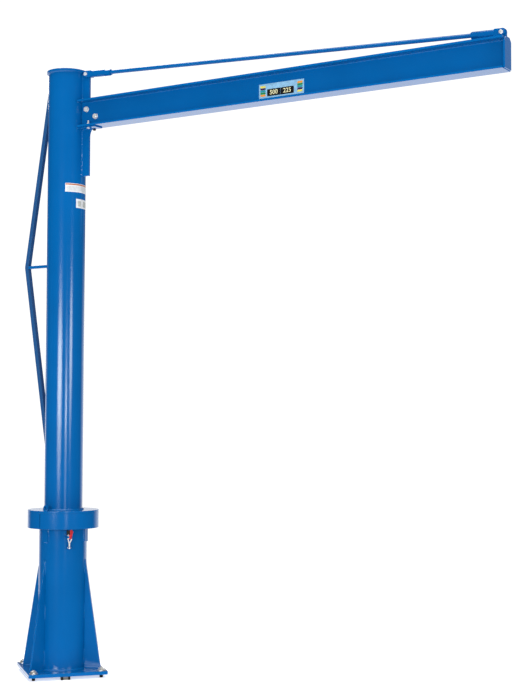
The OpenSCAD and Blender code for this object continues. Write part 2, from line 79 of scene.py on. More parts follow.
BASE_TURN = math.radians(50.2)              # turn of the base plate from the boom
GUSSET_SPREAD = math.radians(58)            # from the plate's front or back to the gussets
BRACKET_SPREAD = math.radians(55)           # from the plate's front to the first two brackets
GUSSET_HALF = 6.35 * MM                     # half thickness of a gusset
BRACKET_HALF = 21.5 * MM                    # half width of a roller bracket
ROLLER_PIN_R = 6 * MM
TRUSS_HALF = 12.7 * MM                      # half thickness of the truss bars
FLANGE_T = 10.3 * MM
ARM_OUT = 50.5 * MM                         # the bracket plate's straight edge, out from the mast
SEAT_BOLT_X = 180 * MM
SEAT_BOLT_Y = 28 * MM
FLOOR_DROP = 18 * MM                        # the plate stands this far off the floor, on its studs

# ---- Sizes read from the frame ----

FRONT = BASE_TURN - math.pi / 2             # direction of the plate's front
GUSSETS = [FRONT + side * GUSSET_SPREAD + half for half in (0, math.pi) for side in (1, -1)]
BRACKETS = [FRONT + BRACKET_SPREAD, FRONT - BRACKET_SPREAD, FRONT + math.pi]

MAST_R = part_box("mast_tube")[1].x
SLEEVE_R = (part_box("base_sleeve")[1].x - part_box("base_sleeve")[0].x) / 2
PLATE_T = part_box("base_plate")[1].z
PLATE_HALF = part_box("base_plate")[1].x / (math.cos(BASE_TURN) + math.sin(BASE_TURN))
RING_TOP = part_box("ring_plate")[1].z
CAP_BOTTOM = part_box("mast_cap")[0].z
BEAM_LOW, BEAM_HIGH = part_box("boom_beam")
ARM_LOW, ARM_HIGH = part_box("boom_bracket")
ARM_Y = (ARM_LOW.y + ARM_HIGH.y) / 2
ARM_T = ARM_HIGH.y - ARM_LOW.y
ARM_EDGE = MAST_R + ARM_OUT
WEB_T = 2 * (ARM_Y - ARM_T / 2)


# ---- Materials ----

def node_material(name, colour, **sockets):
    """A new material, its tree and its Principled shader, with fixed values set on the shader."""
    made = bpy.data.materials.new(name)
    made.use_nodes = True
    made.diffuse_color = (*colour, 1)
    shader = made.node_tree.nodes["Principled BSDF"]
    shader.inputs["Base Color"].default_value = (*colour, 1)
    for socket, value in sockets.items():
        shader.inputs[socket.replace("_", " ")].default_value = value
    return made, made.node_tree, shader


def noise(tree, scale, detail=2.0, stretch=(1, 1, 1)):
    """A noise over the object's own coordinates, with scale in lumps per metre."""
    place = tree.nodes.new("ShaderNodeTexCoord")
    mapping = tree.nodes.new("ShaderNodeMapping")
    mapping.inputs["Scale"].default_value = stretch
    made = tree.nodes.new("ShaderNodeTexNoise")
    made.inputs["Scale"].default_value = scale
    made.inputs["Detail"].default_value = detail
    tree.links.new(place.outputs["Object"], mapping.inputs["Vector"])
    tree.links.new(mapping.outputs["Vector"], made.inputs["Vector"])
    return made.outputs["Fac"]


def ramp(tree, source, low, high):
    """Blends two colours over the middle of a noise."""
    made = tree.nodes.new("ShaderNodeValToRGB")
    made.color_ramp.elements[0].position = 0.35
    made.color_ramp.elements[1].position = 0.65
    made.color_ramp.elements[0].color = (*low, 1)
    made.color_ramp.elements[1].color = (*high, 1)
    tree.links.new(source, made.inputs["Fac"])
    return made.outputs["Color"]


def spread(tree, source, low, high):
    """Maps the middle of a noise onto a range of one number."""
    made = tree.nodes.new("ShaderNodeMapRange")
    made.inputs["From Min"].default_value = 0.3
    made.inputs["From Max"].default_value = 0.7
    made.inputs["To Min"].default_value = low
    made.inputs["To Max"].default_value = high
    tree.links.new(source, made.inputs["Value"])
    return made.outputs["Result"]


def bumps(tree, shader, source, depth):
    """Raises the surface by a noise, with depth in metres."""
    made = tree.nodes.new("ShaderNodeBump")
    made.inputs["Strength"].default_value = 1.0
    made.inputs["Distance"].default_value = depth
    tree.links.new(source, made.inputs["Height"])
    tree.links.new(made.outputs["Normal"], shader.inputs["Normal"])


def shade(colour, factor):
    """A colour made lighter or darker."""
    return tuple(min(1.0, channel * factor) for channel in colour)


def vary(tree, shader, tone, colour, tone_range, gloss, roughness, gloss_range):
    """Varies the base colour with one noise and the roughness with another, each by a range of shares."""
    low, high = tone_range
    mixed = ramp(tree, tone, shade(colour, low), shade(colour, high))
    tree.links.new(mixed, shader.inputs["Base Color"])
    low, high = gloss_range
    rough = spread(tree, gloss, roughness * low, roughness * high)
    tree.links.new(rough, shader.inputs["Roughness"])


def painted(name, colour, roughness=0.14):
    """Glossy enamel on steel: a faint orange peel, and slow changes of tone and gloss."""
    made, tree, shader = node_material(name, colour, IOR=1.5, Specular_IOR_Level=0.45,
                                       Specular_Tint=(0.9, 0.9, 0.8, 1.0))
    tone = noise(tree, scale=3.2, detail=3.0)
    gloss = noise(tree, scale=9.0, detail=4.0)
    peel = noise(tree, scale=420.0, detail=1.0)
    vary(tree, shader, tone, colour, (0.95, 1.05), gloss, roughness, (0.93, 1.07))
    bumps(tree, shader, peel, 0.002 * MM)
    return made


def metal(name, colour, roughness, grain=(1, 1, 1), metallic=1.0):
    """Bare or plated metal with fine grain."""
    made, tree, shader = node_material(name, colour, Metallic=metallic)
    fine = noise(tree, scale=260.0, detail=5.0, stretch=grain)
    cloud = noise(tree, scale=55.0, detail=3.0)
    vary(tree, shader, cloud, colour, (0.84, 1.1), fine, roughness, (0.7, 1.3))
    bumps(tree, shader, fine, 0.02 * MM)
    return made


def plastic(name, colour, roughness, coat=0.0):
    """Moulded plastic, rubber, vinyl or a printed label."""
    made, tree, shader = node_material(name, colour, Coat_Weight=coat, Coat_Roughness=0.1)
    grain = noise(tree, scale=800.0)
    cloud = noise(tree, scale=60.0)
    vary(tree, shader, cloud, colour, (0.88, 1.1), grain, roughness, (0.85, 1.15))
    bumps(tree, shader, grain, 0.03 * MM)
    return made


BLUE = painted("blue_paint", (0.0002, 0.107, 0.352))
# A darker and rougher copy of the blue, used on the truss bars alone.
DARKER_TRUSS_BLUE = painted("darker_truss_blue", (0.014, 0.082, 0.235), roughness=0.3)
STEEL = metal("zinc_steel", (0.88, 0.88, 0.86), 0.30, metallic=0.4)
DARK_STEEL = metal("dark_steel", (0.74, 0.74, 0.72), 0.30, metallic=0.8)
TURNED = metal("turned_steel", (0.60, 0.61, 0.63), 0.24, grain=(1, 1, 12))
IRON = metal("black_iron", (0.030, 0.029, 0.028), 0.50)
BRONZE = metal("bronze", (0.58, 0.36, 0.15), 0.28)
WORN = metal("worn_iron", (0.16, 0.16, 0.155), 0.50, metallic=0.3)
RUBBER = plastic("rubber", (0.006, 0.006, 0.007), 0.6)
RED = plastic("red_vinyl", (0.78, 0.022, 0.030), 0.24, coat=0.4)
WHITE = plastic("label_white", (0.72, 0.74, 0.77), 0.30)
PALE = plastic("label_pale", (0.60, 0.63, 0.66), 0.34)
GREY = plastic("label_grey", (0.46, 0.48, 0.46), 0.34)
ORANGE = plastic("label_orange", (0.50, 0.15, 0.06), 0.32)
SKY = plastic("label_sky", (0.27, 0.52, 0.74), 0.28)
BLACK = plastic("label_black", (0.010, 0.010, 0.011), 0.28)
YELLOW = plastic("label_yellow", (0.83, 0.72, 0.10), 0.30)
GREEN = plastic("label_green", (0.02, 0.26, 0.07), 0.30)
CREAM = plastic("label_cream", (0.90, 0.86, 0.50), 0.30)
TEAL = plastic("label_teal", (0.02, 0.30, 0.36), 0.30)
AMBER = plastic("label_amber", (0.86, 0.33, 0.03), 0.30)
PURPLE = plastic("label_purple", (0.06, 0.02, 0.09), 0.30)


# ---- Making pieces ----

def piece(name, mesh, material, body, smooth=35):
    """Turns a bmesh into a named piece that rides on a body."""
    data = bpy.data.meshes.new(name)
    bmesh.ops.recalc_face_normals(mesh, faces=mesh.faces)
    mesh.to_mesh(data)
    mesh.free()
    data.polygons.foreach_set("use_smooth", [True] * len(data.polygons))
    data.set_sharp_from_angle(angle=math.radians(smooth))
    data.materials.append(material)
    made = bpy.data.objects.new(name, data)
    bpy.context.scene.collection.objects.link(made)
    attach(made, body)


def bridge(mesh, first, second):
    """Joins two rings of vertices with faces."""
    count = len(first)
    for i in range(count):
        j = (i + 1) % count
        mesh.faces.new((first[i], first[j], second[j], second[i]))


def cap_ends(mesh, first, last):
    """Closes a stack of rings at both ends."""
    mesh.faces.new(list(reversed(first)))
    mesh.faces.new(last)


def turned_rings(mesh, place, profile, steps):
    """One ring of vertices for each (radius, height) of a profile."""
    return [[mesh.verts.new(place @ around(math.tau * i / steps, radius, height)) for i in range(steps)]
            for radius, height in profile]


def lathe(mesh, place, profile, steps):
    """Adds a turned form: profile is (radius, height) from bottom to top, closed at both ends."""
    rings = turned_rings(mesh, place, profile, steps)
    for low, high in zip(rings, rings[1:]):
        bridge(mesh, low, high)
    cap_ends(mesh, rings[0], rings[-1])


def washer(mesh, place, outer, bore, thick):
    """A flat washer with broken edges, standing on the frame's z = 0."""
    edge = 0.25 * thick
    profile = [(bore, edge), (bore, thick), (outer - edge, thick), (outer, thick - edge),
               (outer, edge), (outer - edge, 0), (bore, 0)]
    rings = turned_rings(mesh, place, profile, 48)
    for low, high in zip(rings, rings[1:] + rings[:1]):
        bridge(mesh, low, high)


def hexagon(angle):
    """Radius of a hexagon over its inner circle's, at an angle."""
    return 1 / math.cos((angle + math.pi / 6) % (math.pi / 3) - math.pi / 6)


def hex_head(mesh, place, flats, height):
    """A hexagon bolt head or nut, its corners chamfered to a round face."""
    half = flats / 2
    face = half * 0.93                      # radius of the round face
    chamfer_start = half * 0.96
    chamfer_slope = 0.55
    steps = 48
    low, edge, top = [], [], []
    for i in range(steps):
        angle = math.tau * i / steps
        out = half * hexagon(angle)
        fall = (out - chamfer_start) * chamfer_slope
        low.append(mesh.verts.new(place @ around(angle, out)))
        edge.append(mesh.verts.new(place @ around(angle, out, height - fall)))
        top.append(mesh.verts.new(place @ around(angle, face, height)))
    bridge(mesh, low, edge)
    bridge(mesh, edge, top)
    cap_ends(mesh, low, top)


def thread(mesh, place, radius, length, pitch):
    """A screwed end: a stack of ridges with a chamfered tip."""
    turns = max(2, round(length / pitch))
    root = radius - 0.6 * pitch
    ridge = ((radius, 0.35), (radius, 0.55), (root, 0.95))      # radius, share of a turn
    profile = [(root, 0)]
    for turn in range(turns):
        profile += [(out, (turn + share) * length / turns) for out, share in ridge]
    profile.append((root - 0.8 * pitch, length + 0.6 * pitch))
    lathe(mesh, place, profile, 28)


def block(mesh, place, size):
    """A box with broken edges, centred on the frame's origin."""
    made = bmesh.ops.create_cube(mesh, size=1, matrix=place @ Matrix.Diagonal((*size, 1)))
    edges = {edge for vert in made["verts"] for edge in vert.link_edges}
    bmesh.ops.bevel(mesh, geom=list(edges), offset=0.6 * MM, segments=2, profile=0.5, affect="EDGES")


# ---- Weld beads ----

STATION = 2.2 * MM                          # length of one step along a bead
BEAD_STEPS = 6                              # faces across a bead
RIPPLE_LENGTH = 3.4                         # stations from one ripple to the next
RIPPLE_LAG = 1.3                            # stations that a ripple's crown trails its ends
HOLLOW = 0.20                               # how far a bead's face is hollowed, over its leg
RIPPLE = 0.10                               # height of a ripple, over the leg
SINK = 0.12                                 # how far a bead reaches into the metal, over its leg


def hashed(value):
    """A repeatable number from 0 to 1."""
    return (math.sin(value * 12.9898) * 43758.5453) % 1.0


def bead(mesh, stations, leg, closed=False):
    """A fillet weld along stations of (point, first leg's direction, second leg's direction)."""
    rings = []
    count = len(stations)
    for i, (point, first, second) in enumerate(stations):
        taper = 1.0 if closed else min(1.0, 0.45 + 0.2 * min(i, count - 1 - i))
        size = leg * taper * (1 + 0.08 * (hashed(i * 0.37 + count) - 0.5))
        sink = SINK * leg
        ring = [mesh.verts.new(point - (first + second) * sink)]
        for step in range(BEAD_STEPS + 1):
            turn = math.pi / 2 * step / BEAD_STEPS
            crown = math.sin(2 * turn)
            ripple = math.sin((i - RIPPLE_LAG * crown) * math.tau / RIPPLE_LENGTH)
            round_out = 1 + crown * (RIPPLE * ripple - HOLLOW)
            off = first * math.cos(turn) + second * math.sin(turn)
            ring.append(mesh.verts.new(point + off * size * round_out))
        ring[1].co -= second * sink
        ring[-1].co -= first * sink
        rings.append(ring)
    for low, high in zip(rings, rings[1:]):
        bridge(mesh, low, high)
    if closed:
        bridge(mesh, rings[-1], rings[0])
    else:
        cap_ends(mesh, rings[-1], rings[0])


def seam(mesh, start, end, first, second, leg):
    """A bead along a straight joint."""
    count = max(4, round((end - start).length / STATION))
    bead(mesh, [(start.lerp(end, i / count), first, second) for i in range(count + 1)], leg)


def ring_seam(mesh, radius, z, second, leg):
    """A bead right round the mast's axis, its first leg outwards."""
    count = round(radius * math.tau / STATION)
    turns = [math.tau * i / count for i in range(count)]
    bead(mesh, [(around(turn, radius, z), around(turn), second) for turn in turns], leg, closed=True)


def pipe_at(y, radius):
    """How far out a pipe's surface is at a sideways distance."""
    return math.sqrt(radius * radius - y * y)


def weld_piece(name, mesh, body):
    """A piece of painted beads."""
    piece(name, mesh, BLUE, body, 60)


def weld_base():
    """The beads of the sleeve's foot and of the gussets, which are stitched to the sleeve."""
    stitches = ((18, 108), (286, 364), (536, 612))              # mm above the plate
    foot_start, foot_end = 8 * MM, 92 * MM                      # out from the sleeve
    mesh = bmesh.new()
    ring_seam(mesh, SLEEVE_R, PLATE_T, Z, 7 * MM)
    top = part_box("gusset_a")[1].z
    for angle in GUSSETS:
        out = around(angle)
        for across in sides_of(angle):
            root = across * GUSSET_HALF + out * pipe_at(GUSSET_HALF, SLEEVE_R) + Z * PLATE_T
            for low, high in stitches:
                seam(mesh, root + Z * low * MM, root + Z * high * MM, out, across, 5 * MM)
            foot = across * GUSSET_HALF + out * SLEEVE_R + Z * PLATE_T
            seam(mesh, foot + out * foot_start, foot + out * foot_end, Z, across, 5.5 * MM)
        tip = out * SLEEVE_R + Z * top
        half = sides_of(angle)[0] * 7 * MM
        seam(mesh, tip - half, tip + half, out, Z, 5 * MM)
    weld_piece("base_welds", mesh, "pedestal")


def weld_brackets():
    """The beads down both sides and under the foot of each roller bracket."""
    end_gap = 4 * MM                                            # a side's bead stops this short
    foot_half = 16 * MM
    foot_inset = 1.2 * MM
    mesh = bmesh.new()
    low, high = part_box("roller_bracket_a")
    for angle in BRACKETS:
        out = around(angle)
        for across in sides_of(angle):
            root = across * BRACKET_HALF + out * pipe_at(BRACKET_HALF, SLEEVE_R)
            seam(mesh, root + Z * (low.z + end_gap), root + Z * (high.z - end_gap), across, out, 5 * MM)
        foot = out * (SLEEVE_R - foot_inset) + Z * low.z
        half = sides_of(angle)[0] * foot_half
        seam(mesh, foot - half, foot + half, out, -Z, 5 * MM)
    weld_piece("bracket_welds", mesh, "pedestal")


def weld_ring():
    """The beads round the mast on the ring and under the cap, and along the tag lug."""
    mesh = bmesh.new()
    ring_seam(mesh, MAST_R, RING_TOP, Z, 8 * MM)
    low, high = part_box("tag_lug")
    for y, side in ((high.y, Y), (low.y, -Y)):
        seam(mesh, Vector((low.x, y, RING_TOP)), Vector((high.x, y, RING_TOP)), side, Z, 4 * MM)
    ring_seam(mesh, MAST_R, CAP_BOTTOM, -Z, 6 * MM)
    weld_piece("mast_welds", mesh, "mast")


def weld_arm(mesh):
    """The bracket plate's beads along the mast and on the seat."""
    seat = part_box("boom_seat")[0].z
    for y, side in ((ARM_HIGH.y, Y), (ARM_LOW.y, -Y)):
        x = pipe_at(y, MAST_R)
        start = Vector((x, y, ARM_LOW.z + 3 * MM))
        seam(mesh, start, Vector((x, y, CAP_BOTTOM - 8 * MM)), side, X, 6 * MM)
    for y, side in ((ARM_HIGH.y, Y), (ARM_LOW.y, -Y)):
        start = Vector((pipe_at(y, MAST_R) + 8 * MM, y, seat))
        seam(mesh, start, Vector((ARM_EDGE + 20 * MM, y, seat)), side, -Z, 5 * MM)


def weld_end_plate(mesh):
    """The end plate's beads on the web and on the flanges, clear of the corners between them."""
    corner_gap = 8 * MM
    flange_start, flange_end = 12 * MM, 38 * MM                 # sideways from the web's middle
    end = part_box("end_plate")[0].x
    foot = BEAM_LOW.z + FLANGE_T
    head = BEAM_HIGH.z - FLANGE_T
    for side in (1, -1):
        y = side * WEB_T / 2
        start = Vector((end, y, foot + corner_gap))
        seam(mesh, start, Vector((end, y, head - corner_gap)), Y * side, -X, 5 * MM)
        for z, up in ((foot, Z), (head, -Z)):
            start = Vector((end, side * flange_start, z))
            seam(mesh, start, Vector((end, side * flange_end, z)), -X, up, 5 * MM)


def weld_boom():
    """The beads of the bracket plate, the end plate and the end lug."""
    mesh = bmesh.new()
    weld_arm(mesh)
    weld_end_plate(mesh)
    low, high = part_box("end_lug")
    for y, side in ((low.y, -Y), (high.y, Y)):
        start = Vector((low.x, y, BEAM_HIGH.z))
        seam(mesh, start, Vector((high.x, y, BEAM_HIGH.z)), side, Z, 5 * MM)
    weld_piece("boom_welds", mesh, "mast")


def weld_truss():
    """The beads of the truss's bars and strut down the back of the mast."""
    strut_half = 10 * MM
    mesh = bmesh.new()
    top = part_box("truss_upper_bar")[1].z
    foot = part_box("truss_lower_bar")[0].z
    strut_low, strut_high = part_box("truss_strut")
    runs = ((top - 130 * MM, top - 6 * MM, 5 * MM),
            (foot + 2 * MM, foot + 150 * MM, 5 * MM),
            (strut_low.z, strut_high.z, 4 * MM))                # from, to, leg
    for side in (1, -1):
        across = Y * side
        edge = across * TRUSS_HALF - X * pipe_at(TRUSS_HALF, MAST_R)
        for start, end, leg in runs:
            seam(mesh, edge + Z * start, edge + Z * end, across, -X, leg)
    for z, up in ((strut_low.z, -Z), (strut_high.z, Z)):
        start = Vector((-MAST_R, -strut_half, z))
        seam(mesh, start, Vector((-MAST_R, strut_half, z)), -X, up, 4 * MM)
    weld_piece("truss_welds", mesh, "mast")


# ---- Bolts ----

WASHER_SHARE = 0.62                         # a washer's radius over its bolt's flats
HEAD_SHARE = 0.36                           # a head's height over the flats
NUT_SHARE = 0.5                             # a nut's height over the flats
THREAD_SHARE = 0.05                         # how far a tail starts inside its nut, over the flats


def anchor_places():
    """The middles of the anchor holes, from the record's bolt circle."""
    pattern = next(m for m in frame["record"]["mounts"] if m["name"] == "anchor_holes")
    radius = pattern["dims"]["pcd_mm"] * MM / 2
    first = BASE_TURN + math.pi / 4
    return [around(first + quarter * math.pi / 2, radius, PLATE_T) for quarter in range(4)]


def anchors():
    """Washers, nuts and stud ends on the base plate, each nut at its own turn."""
    washer_t = 4 * MM
    nut_t = 12 * MM
    stud_r = 9.8 * MM
    stud_chamfer = 0.8 * MM
    mesh = bmesh.new()
    black = bmesh.new()
    for i, place in enumerate(anchor_places()):
        at = facing(place, Z, around(0.4 + i))
        washer(mesh, at, 24.5 * MM, 10.2 * MM, washer_t)
        hex_head(mesh, raised(at, washer_t), 31 * MM, nut_t)
        thread(mesh, raised(at, washer_t + nut_t - 0.5 * MM), 9.4 * MM, 4.5 * MM, 2.2 * MM)
        length = PLATE_T + FLOOR_DROP
        profile = [(stud_r - stud_chamfer, 0), (stud_r, stud_chamfer), (stud_r, length)]
        lathe(black, raised(at, -length), profile, 28)
    piece("anchor_nuts", mesh, DARK_STEEL, "pedestal")
    piece("anchor_studs", black, IRON, "pedestal")


def shim():
    """The levelling block under the middle of the plate's front."""
    inset = 11 * MM                                             # from the plate's edge
    aside = -16 * MM                                            # from the middle of the front
    end_x = 20 * MM
    core_gap = 1.2 * MM                                         # from the floor up to the core
    place = around(FRONT, PLATE_HALF - inset, -FLOOR_DROP / 2) + around(BASE_TURN, aside)
    at = facing(place, Z, around(BASE_TURN))
    ends = bmesh.new()
    core = bmesh.new()
    for side in (1, -1):
        block(ends, at @ Matrix.Translation(X * side * end_x), (12 * MM, 26 * MM, FLOOR_DROP))
    block(core, raised(at, core_gap / 2), (28 * MM, 22 * MM, FLOOR_DROP - core_gap))
    piece("shim_ends", ends, IRON, "pedestal")
    piece("shim_core", core, WORN, "pedestal")


def bolt(mesh, head, axis, grip, shank, flats, tail, washer_t=0.0):
    """A bolt from its head's seat along axis through grip, with a nut and tail of thread at its far end."""
    near = facing(head, -axis)
    far = facing(head + axis * grip, axis)
    if washer_t:
        for at in (near, far):
            washer(mesh, at, flats * WASHER_SHARE, shank / 2, washer_t)
    hex_head(mesh, raised(near, washer_t), flats, flats * HEAD_SHARE)
    hex_head(mesh, raised(far, washer_t), flats, flats * NUT_SHARE)
    start = washer_t + flats * (NUT_SHARE - THREAD_SHARE)
    thread(mesh, raised(far, start), shank / 2, tail + flats * THREAD_SHARE, 1.6 * MM)


def web_bolts():
    """The two bolts that hold the web to the bracket plate's lap."""
    mesh = bmesh.new()
    beam_mid = (BEAM_LOW.z + BEAM_HIGH.z) / 2
    inner = (ARM_EDGE - 13.5 * MM, beam_mid + 28 * MM)
    outer = (ARM_HIGH.x - 23 * MM, beam_mid - 20 * MM)
    for x, z in (inner, outer):
        head = Vector((x, -WEB_T / 2, z))
        bolt(mesh, head, Y, WEB_T + ARM_T, 17 * MM, 26 * MM, 6 * MM, 2.6 * MM)
    piece("web_bolts", mesh, STEEL, "mast")


def seat_bolts():
    """The two bolts through the lower flange and the seat: the near one bright, the far one black."""
    near = bmesh.new()
    far = bmesh.new()
    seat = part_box("boom_seat")[0].z
    grip = BEAM_LOW.z + FLANGE_T - seat
    bolt(near, Vector((SEAT_BOLT_X, -SEAT_BOLT_Y, seat)), Z, grip, 10 * MM, 16 * MM, 15 * MM)
    bolt(far, Vector((SEAT_BOLT_X, SEAT_BOLT_Y, seat + grip)), -Z, grip, 10 * MM, 15 * MM, 0.5 * MM)
    piece("seat_bolt_near", near, STEEL, "mast")
    piece("seat_bolt_far", far, IRON, "mast")


def pin_ends():
    """The clevis pins' heads on the near side, and their nuts on the far one."""
    inset = 5.5 * MM                                            # from the pin's end to the head's seat
    mesh = bmesh.new()
    for node in ("pin_inner", "pin_outer"):
        low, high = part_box(node)
        centre = (low + high) / 2
        near = Vector((centre.x, low.y + inset, centre.z))
        bolt(mesh, near, Y, high.y - low.y - 2 * inset, 18.8 * MM, 19.8 * MM, 2 * MM)
    piece("clevis_bolts", mesh, STEEL, "mast")


def roller_ends():
    """Snap rings at both ends of each roller pin."""
    thick = 1.2 * MM
    end_gap = 2.2 * MM
    mesh = bmesh.new()
    low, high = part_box("roller_pins")
    reach = max(math.cos(angle) for angle in BRACKETS)
    centre_r = (high.x - ROLLER_PIN_R) / reach                  # the pins' distance from the mast's axis
    for angle in BRACKETS:
        for z in (low.z + end_gap, high.z - end_gap - thick):
            at = Matrix.Translation(around(angle, centre_r, z))
            washer(mesh, at, ROLLER_PIN_R + 3 * MM, ROLLER_PIN_R - 0.3 * MM, thick)
    piece("roller_clips", mesh, IRON, "pedestal")


# ---- Labels ----

BACK_GAP = 0.02 * MM                        # from a surface to the back of the label on it
LABEL_T = 0.25 * MM                         # height of a label's face
LIFT = 0.12 * MM                            # how far a label's print stands on it
MARGIN = 0.03                               # radians from the upper label's ends to its band


def sheet_on_mast(mesh, start, end, low, high, lift, steps=24):
    """A thin curved sheet on the mast between two angles and two heights."""
    rings = []
    for i in range(steps + 1):
        angle = start + (end - start) * i / steps
        corners = ((BACK_GAP, low), (BACK_GAP, high), (lift, high), (lift, low))
        rings.append([mesh.verts.new(around(angle, MAST_R + depth, z)) for depth, z in corners])
    for first, second in zip(rings, rings[1:]):
        bridge(mesh, first, second)
    cap_ends(mesh, rings[-1], rings[0])


def printed_panels(name, material, spans, low, high):
    """Panels on a label of the mast, each between two angles in degrees."""
    mesh = bmesh.new()
    for start, end in spans:
        sheet_on_mast(mesh, math.radians(start), math.radians(end), low, high, LABEL_T + LIFT, 16)
    piece(name, mesh, material, "mast")


def mast_labels():
    """Two blank labels below the boom: one with an orange band and pale panels, one with grey panels."""
    low, high = 2737 * MM, 2787 * MM
    half = math.radians(54)
    mesh = bmesh.new()
    sheet_on_mast(mesh, -half, half, low, high, LABEL_T)
    sheet_on_mast(mesh, math.radians(-20), math.radians(44), 2647 * MM, 2699 * MM, LABEL_T)
    piece("mast_labels", mesh, WHITE, "mast")
    mesh = bmesh.new()
    sheet_on_mast(mesh, -half + MARGIN, half - MARGIN, high - 10 * MM, high - 2.5 * MM, LABEL_T + LIFT)
    piece("mast_label_band", mesh, ORANGE, "mast")
    printed_panels("mast_label_panels_pale", PALE, ((-48, -18), (-12, 20), (26, 47)),
                   low + 7 * MM, high - 15 * MM)
    printed_panels("mast_label_panels", GREY, ((-13, 0), (8, 38)), 2656 * MM, 2688 * MM)


def flat_patch(mesh, x, z, width, height, lift, lean=0.0):
    """A thin rectangle on the near face of the boom's web, centred at (x, z), its top shifted by lean."""
    y = -WEB_T / 2
    corners = [(-width / 2, -height / 2), (width / 2, -height / 2),
               (width / 2 + lean, height / 2), (-width / 2 + lean, height / 2)]
    back = [mesh.verts.new(Vector((x + dx, y - BACK_GAP, z + dz))) for dx, dz in corners]
    front = [mesh.verts.new(Vector((x + dx, y - lift, z + dz))) for dx, dz in corners]
    bridge(mesh, back, front)
    cap_ends(mesh, front, back)


def numbers(name, digits, x, z, height):
    """Plain numbers on the web's label, as a mesh."""
    curve = bpy.data.curves.new(name, "FONT")
    curve.body = digits
    curve.size = height * 1.38              # the font's size over the height of its digits
    curve.align_x = "CENTER"
    curve.align_y = "CENTER"
    curve.extrude = 0.05 * MM
    curve.offset = 0.35 * MM
    holder = bpy.data.objects.new(name + "_curve", curve)
    bpy.context.scene.collection.objects.link(holder)
    bpy.context.view_layer.update()
    data = bpy.data.meshes.new_from_object(holder)
    bpy.data.objects.remove(holder)
    mesh = bmesh.new()
    mesh.from_mesh(data)
    bmesh.ops.remove_doubles(mesh, verts=mesh.verts, dist=1e-6)
    bpy.data.meshes.remove(data)
    upright = Matrix.Rotation(math.pi / 2, 4, "X")
    place = Matrix.Translation((x, -WEB_T / 2 - LABEL_T - 2 * LIFT, z)) @ upright
    bmesh.ops.transform(mesh, matrix=place, verts=mesh.verts)
    piece(name, mesh, CREAM, "mast")


def capacity_label():
    """The label on the web: a sky-blue sheet, two dark panels with plain numbers, and bars of colour."""
    mid_x, mid_z = 1463.5 * MM, 3176 * MM
    print_lift = LABEL_T + LIFT
    mesh = bmesh.new()
    flat_patch(mesh, mid_x, mid_z, 277 * MM, 76 * MM, LABEL_T)
    piece("web_label", mesh, SKY, "mast")
    mesh = bmesh.new()
    panel_z = mid_z - 11 * MM
    for side, digits, x in (("left", "500", mid_x - 47 * MM), ("right", "225", mid_x + 36 * MM)):
        flat_patch(mesh, x, panel_z, 82 * MM, 38 * MM, print_lift)
        numbers("web_label_number_" + side, digits, x, panel_z, 24 * MM)
    piece("web_label_panels", mesh, BLACK, "mast")
    colours = (YELLOW, PURPLE, TEAL, GREEN, AMBER)              # down the left; up the right
    stack_x, stack_top, step = 112 * MM, 23 * MM, 11.5 * MM
    for i, colour in enumerate(colours):
        mesh = bmesh.new()
        for side, order in ((-1, i), (1, len(colours) - 1 - i)):
            flat_patch(mesh, mid_x + side * stack_x, mid_z + stack_top - order * step,
                       32 * MM, 10.5 * MM, print_lift, 4 * MM * side)
        piece(f"web_label_bar_{i + 1}", mesh, colour, "mast")


# ---- The CAD nodes' finish ----

EDGE = 1.0 * MM                             # radius of a broken edge
FINE_EDGE = 0.5 * MM                        # the same on pins and pipes
BEAM_EDGE = 3.0 * MM                        # radius of a rolled beam's toes


def soften(thing, width, segments):
    """Breaks a CAD node's edges and shades it smoothly, through modifiers alone."""
    joined = thing.modifiers.new("join", "WELD")
    joined.merge_threshold = 0.01 * MM
    flat = thing.modifiers.new("flat", "DECIMATE")
    flat.decimate_type = "DISSOLVE"
    flat.angle_limit = math.radians(0.2)
    edges = thing.modifiers.new("edges", "BEVEL")
    edges.width = width
    edges.segments = segments
    edges.limit_method = "ANGLE"
    edges.angle_limit = math.radians(40)
    edges.use_clamp_overlap = True
    shading = thing.modifiers.new("shading", "WEIGHTED_NORMAL")
    shading.mode = "FACE_AREA_WITH_ANGLE"
    shading.weight = 50
    thing.data.polygons.foreach_set("use_smooth", [True] * len(thing.data.polygons))


def finish_nodes():
    """Paint or metal on each CAD node, with its edges slightly broken."""
    by_slot = {"blue_paint": BLUE, "steel": STEEL, "bronze": BRONZE, "rubber": RUBBER, "red_grip": RED}
    slot_of = {row["node"]: row["material_slot"] for row in frame["record"]["subparts"]}
    special = {"guide_rollers": TURNED, "roller_pins": TURNED, "pivot_pin": TURNED,
               "truss_upper_bar": DARKER_TRUSS_BLUE, "truss_lower_bar": DARKER_TRUSS_BLUE}
    fine = ("roller_pins", "lock_pin", "mast_tube", "base_sleeve")
    for name, thing in NODES.items():
        thing.data.materials.clear()
        thing.data.materials.append(special.get(name) or by_slot[slot_of[name]])
        if name == "boom_beam":
            soften(thing, BEAM_EDGE, segments=4)
        else:
            soften(thing, FINE_EDGE if name in fine else EDGE, segments=2)


# ---- Stage ----

CAMERA_PLACE = Vector((5.2658, -6.2299, 1.4327))
CAMERA_TURN = math.radians(122.134)         # direction it looks in, about +Z from +X
CAMERA_PITCH = 0.049834                     # radians upwards
CAMERA_ROLL = 0.003305                      # radians
CAMERA_LENS = 71.894                        # mm, on a 36 mm sensor
BEYOND = math.radians(122)                  # direction of the bright end of the studio
AIM = Vector((0, 0, 1.7))                   # what the soft boxes face


